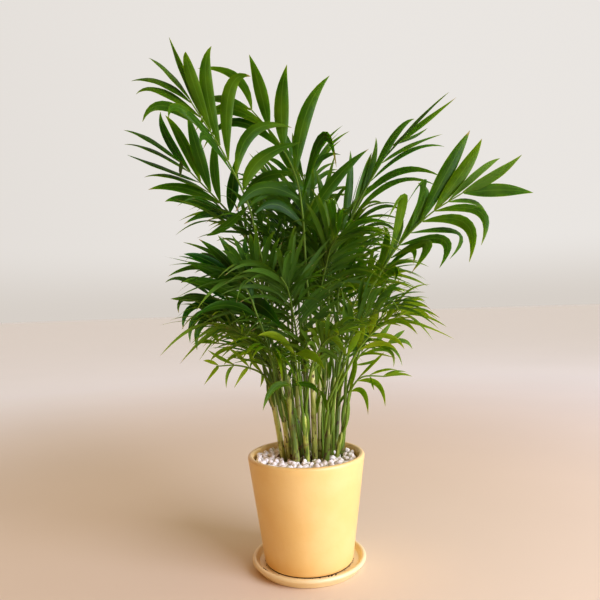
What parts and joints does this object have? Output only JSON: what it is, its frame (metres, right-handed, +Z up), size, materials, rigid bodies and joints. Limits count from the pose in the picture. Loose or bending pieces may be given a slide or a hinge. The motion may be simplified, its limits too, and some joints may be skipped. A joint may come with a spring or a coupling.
{
  "type": "potted parlor palm",
  "caption": "Clump of young parlor palms with feathered fronds, rooted in soil under white pebbles in a tapered ceramic pot on a matching saucer.",
  "frame": {"origin": "on the table, under the middle of the saucer", "axes": "+Z up through the pot's axis, +X to the right and +Y away from the viewer of the front elevation"},
  "size_m": [0.4066, 0.3048, 0.5224],
  "materials": {
    "pot": "satin matte yellow glaze",
    "saucer": "satin matte yellow glaze, slightly paler than the pot",
    "soil": "dark crumbly potting soil",
    "pebbles": "matt white pebbles",
    "cane": "smooth green cane with pale rings",
    "leaf": "satin green leaf"
  },
  "bodies": {
    "root": {"cane_01": "cane", "cane_02": "cane", "cane_03": "cane", "cane_04": "cane", "cane_05": "cane", "cane_06": "cane", "cane_07": "cane", "cane_08": "cane", "cane_09": "cane", "cane_10": "cane", "cane_11": "cane", "cane_12": "cane", "cane_13": "cane", "cane_14": "cane", "cane_15": "cane", "cane_16": "cane", "cane_17": "cane", "frond_arch_left": "leaf", "frond_back": "leaf", "frond_back_high": "leaf", "frond_back_left_low": "leaf", "frond_back_low": "leaf", "frond_back_right": "leaf", "frond_bright_right": "leaf", "frond_centre": "leaf", "frond_fan_left": "leaf", "frond_front": "leaf", "frond_front_left": "leaf", "frond_front_right": "leaf", "frond_front_right_low": "leaf", "frond_inner_right": "leaf", "frond_left_back": "leaf", "frond_left_back_low": "leaf", "frond_left_inner": "leaf", "frond_left_low_front": "leaf", "frond_low_front": "leaf", "frond_low_front_right": "leaf", "frond_low_left": "leaf", "frond_low_left_back": "leaf", "frond_low_right": "leaf", "frond_mid_left": "leaf", "frond_middle": "leaf", "frond_middle_back": "leaf", "frond_middle_left": "leaf", "frond_middle_right": "leaf", "frond_right": "leaf", "frond_right_back": "leaf", "frond_right_back_high": "leaf", "frond_right_inner": "leaf", "frond_right_low": "leaf", "frond_top": "leaf", "frond_upper_left": "leaf", "frond_upper_right": "leaf", "leaf_pair_front": "leaf", "leaf_pair_front_right": "leaf", "leaf_pair_low": "leaf", "pebbles": "pebbles", "pot": "pot", "saucer": "saucer", "soil": "soil"}
  },
  "joints": []
}
